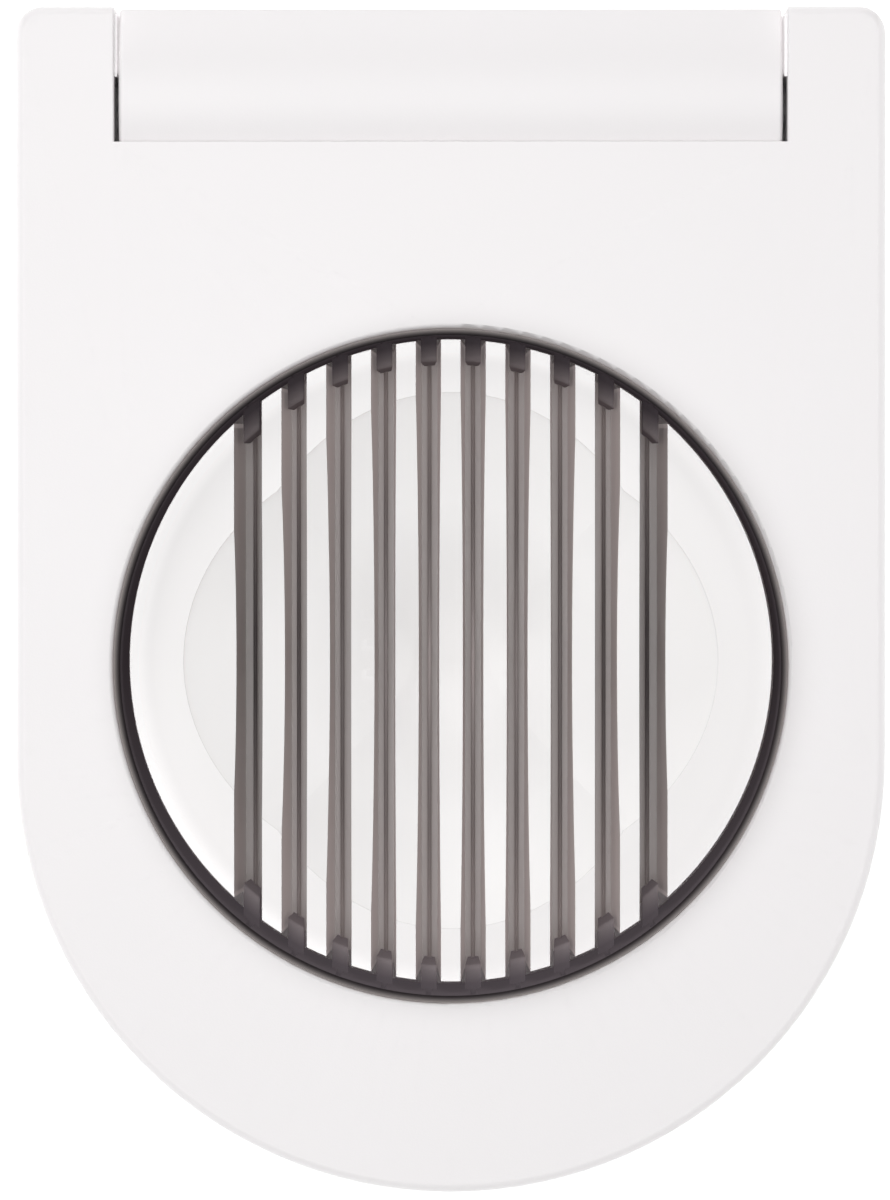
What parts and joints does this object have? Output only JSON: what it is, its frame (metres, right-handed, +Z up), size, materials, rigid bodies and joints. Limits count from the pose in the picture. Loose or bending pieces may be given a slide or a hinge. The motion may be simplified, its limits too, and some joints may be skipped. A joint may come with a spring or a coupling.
{
  "type": "egg slicer",
  "caption": "Hinged egg slicer: round-fronted lid with a ring of cutting wires over a slotted egg cradle on a tray.",
  "frame": {"origin": "on the table under the middle of the lid's outline, at the height of the feet's undersides", "axes": "+X to the right seen from the front, +Y towards the hinge, +Z up"},
  "size_m": [0.096, 0.131, 0.033],
  "materials": {
    "body_white": "satin moulded",
    "cradle_white": "satin moulded",
    "ring_charcoal": "satin",
    "wire_steel": "drawn",
    "crimp_steel": "tumbled",
    "pin_steel": "ground",
    "screw_steel": "plated",
    "foot_rubber": "matt"
  },
  "bodies": {
    "base": {"base_tray": "body_white", "egg_cradle": "cradle_white", "cradle_screws": "screw_steel", "hinge_pin_left": "pin_steel", "hinge_pin_right": "pin_steel", "foot_front_left": "foot_rubber", "foot_rear_left": "foot_rubber", "foot_front_right": "foot_rubber", "foot_rear_right": "foot_rubber"},
    "lid": {"lid_frame": "body_white", "wire_ring": "ring_charcoal", "ring_screws": "screw_steel", "front_wire_crimps": "crimp_steel", "rear_wire_crimps": "crimp_steel", "wire_1": "wire_steel", "wire_2": "wire_steel", "wire_3": "wire_steel", "wire_4": "wire_steel", "wire_5": "wire_steel", "wire_6": "wire_steel", "wire_7": "wire_steel", "wire_8": "wire_steel", "wire_9": "wire_steel", "wire_10": "wire_steel"}
  },
  "joints": [
    {"name": "lid_hinge", "type": "hinge", "parent": "base", "child": "lid", "pos_m": [0, 0.056, 0.0125], "axis": [-1, 0, 0], "range_deg": [0, 95]}
  ]
}
